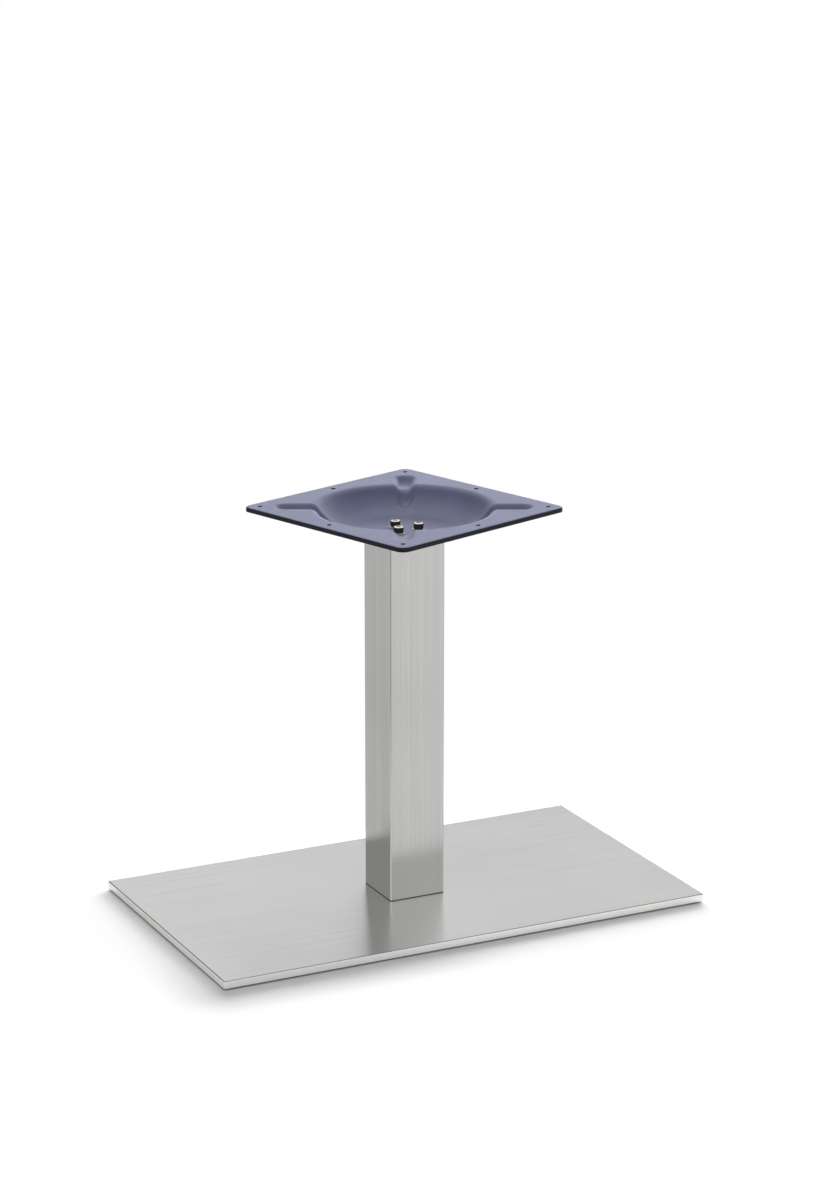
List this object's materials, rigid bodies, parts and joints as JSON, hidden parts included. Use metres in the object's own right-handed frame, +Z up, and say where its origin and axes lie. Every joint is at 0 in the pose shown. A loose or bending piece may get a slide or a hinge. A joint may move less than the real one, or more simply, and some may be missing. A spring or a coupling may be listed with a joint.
{
  "type": "pedestal table base",
  "caption": "Low pedestal table base: flat rectangular brushed steel foot, square brushed steel column and a square pressed dark steel head plate that a table top screws to.",
  "frame": {"origin": "on the floor, under the centre of the rectangular foot and on the column's axis", "axes": "+X along the foot's long side, +Y along its short side, +Z up the column"},
  "size_m": [0.7, 0.4, 0.543],
  "materials": {
    "brushed_stainless_base": "brushed along the long side",
    "brushed_stainless_column": "brushed along its length",
    "mild_steel": "black primed steel",
    "welded_plate": "plain mill steel",
    "powder_coat": "dark blue grey satin powder coat",
    "nylon": "black nylon",
    "zinc_bolt": "bright zinc"
  },
  "bodies": {
    "root": {"base_cover": "brushed_stainless_base", "ballast_plate": "mild_steel", "glide_1": "nylon", "glide_2": "nylon", "glide_3": "nylon", "glide_4": "nylon", "column": "brushed_stainless_column", "column_foot_plate": "welded_plate", "column_head_plate": "welded_plate", "foot_bolt_1": "zinc_bolt", "foot_bolt_2": "zinc_bolt", "foot_bolt_3": "zinc_bolt", "foot_bolt_4": "zinc_bolt", "top_plate": "powder_coat", "head_washer_1": "zinc_bolt", "head_washer_2": "zinc_bolt", "head_washer_3": "zinc_bolt", "head_bolt_1": "zinc_bolt", "head_bolt_2": "zinc_bolt", "head_bolt_3": "zinc_bolt"}
  },
  "joints": []
}
